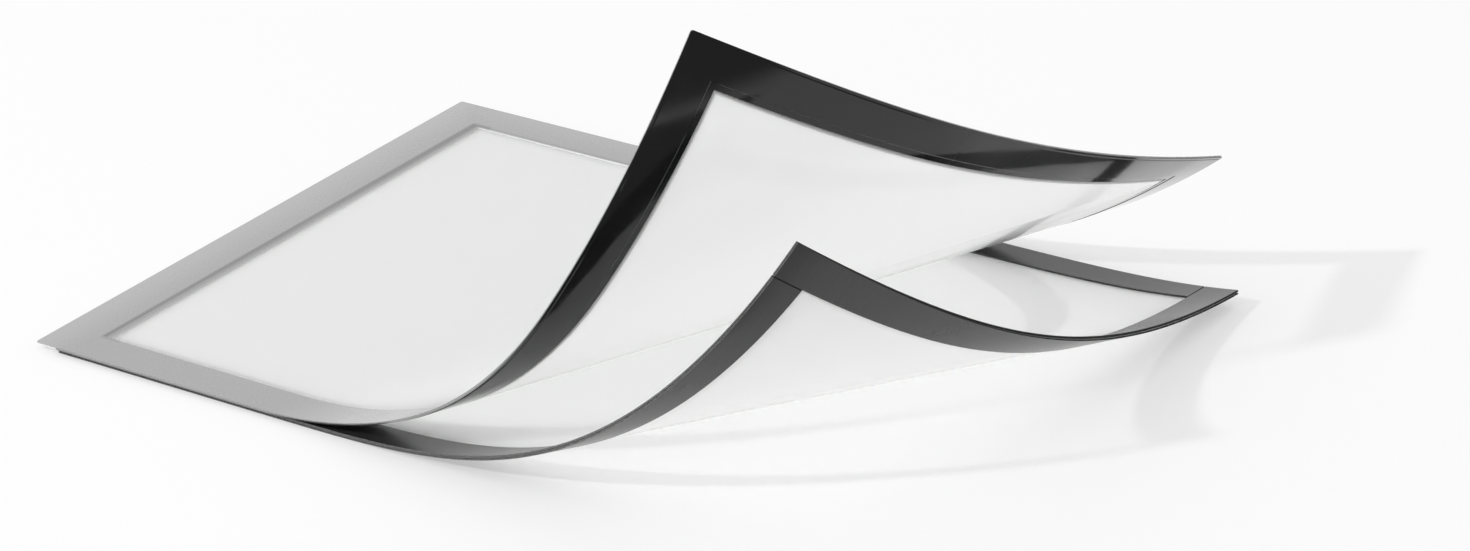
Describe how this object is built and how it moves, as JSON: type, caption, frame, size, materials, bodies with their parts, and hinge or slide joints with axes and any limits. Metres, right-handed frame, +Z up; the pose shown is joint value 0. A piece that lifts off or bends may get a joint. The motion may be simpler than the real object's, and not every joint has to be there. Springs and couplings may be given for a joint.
{
  "type": "magnetic document frame",
  "caption": "Flexible document frame with a film back, magnet strips and a hinged magnetic cover with a clear window, shown peeled open.",
  "frame": {"origin": "centre of the overall box, on the surface that the back lies on", "axes": "+X from the hinged, closed end towards the free end, +Y across the sheets from the near side to the far side, +Z up"},
  "size_m": [0.3216, 0.2412, 0.147],
  "materials": {
    "milky_film": "satin",
    "magnet_rubber": "satin",
    "white_foam": "matte",
    "silver_print": "satin",
    "black_liner": "gloss"
  },
  "bodies": {
    "back": {"back_film": "milky_film", "rear_magnet_near": "magnet_rubber", "rear_magnet_far": "magnet_rubber", "rear_magnet_end": "magnet_rubber", "front_magnet_near": "magnet_rubber", "front_magnet_far": "magnet_rubber", "front_magnet_end": "magnet_rubber", "hinge_tape": "white_foam", "hinge_film_flap": "milky_film", "hinge_border_flap": "silver_print"},
    "cover": {"cover_film": "milky_film", "cover_border": "silver_print", "cover_liner": "black_liner", "cover_magnet_near": "magnet_rubber", "cover_magnet_far": "magnet_rubber", "cover_magnet_end": "magnet_rubber"}
  },
  "joints": [
    {"name": "cover_hinge", "type": "hinge", "parent": "back", "child": "cover", "pos_m": [-0.15249, -0.00258, 0.0026], "axis": [0, -1, 0], "range_deg": [0, 140]}
  ]
}
